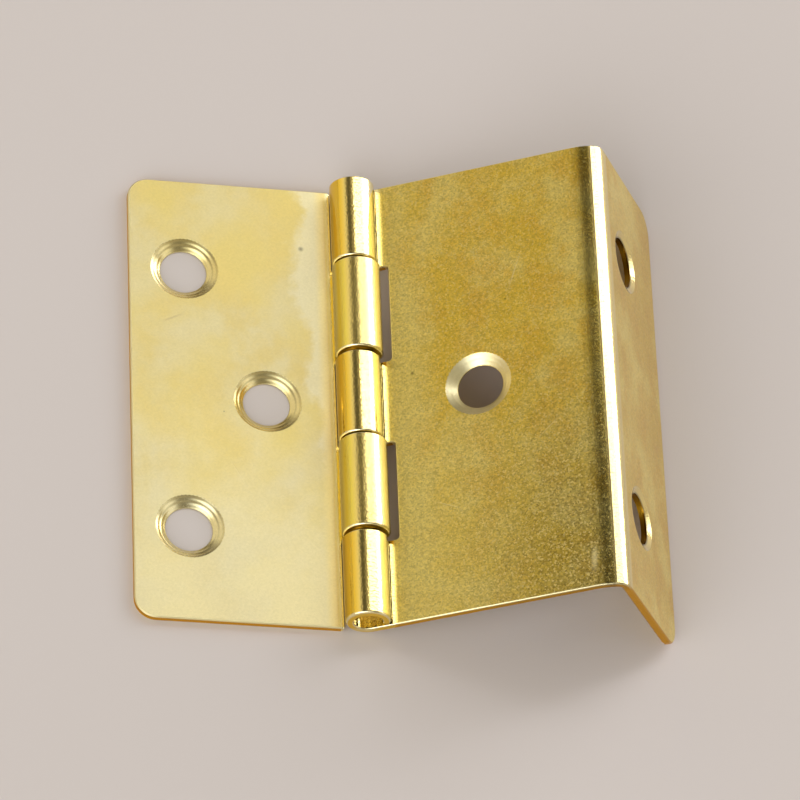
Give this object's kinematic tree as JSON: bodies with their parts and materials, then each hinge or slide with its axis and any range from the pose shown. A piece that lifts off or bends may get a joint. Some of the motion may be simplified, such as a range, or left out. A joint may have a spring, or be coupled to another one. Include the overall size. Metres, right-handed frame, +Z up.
{
  "type": "tri-fold hinge",
  "caption": "Brass-faced cabinet hinge: a flat leaf and a leaf folded square to wrap a door's edge, joined by rolled interleaved knuckles on a plain pin.",
  "frame": {"origin": "on the flat leaf's mounting plane, under the middle of the pin", "axes": "+X from the flat leaf's side to the folded leaf's side, +Y along the pin, +Z up out of the flat leaf's shown face"},
  "size_m": [0.0548, 0.05, 0.0141],
  "materials": {
    "flat_leaf_brass": "satin plated sheet, pale and slightly cloudy",
    "folded_leaf_brass": "satin plated sheet, fine grain and light scratches",
    "pin_brass": "plated wire"
  },
  "bodies": {
    "flat_leaf": {"flat_leaf": "flat_leaf_brass"},
    "folded_leaf": {"folded_leaf": "folded_leaf_brass", "hinge_pin": "pin_brass"}
  },
  "joints": [
    {"name": "hinge_turn", "type": "hinge", "parent": "flat_leaf", "child": "folded_leaf", "pos_m": [0, 0, 0.00245], "axis": [0, -1, 0], "range_deg": [-107.5, 155]}
  ]
}
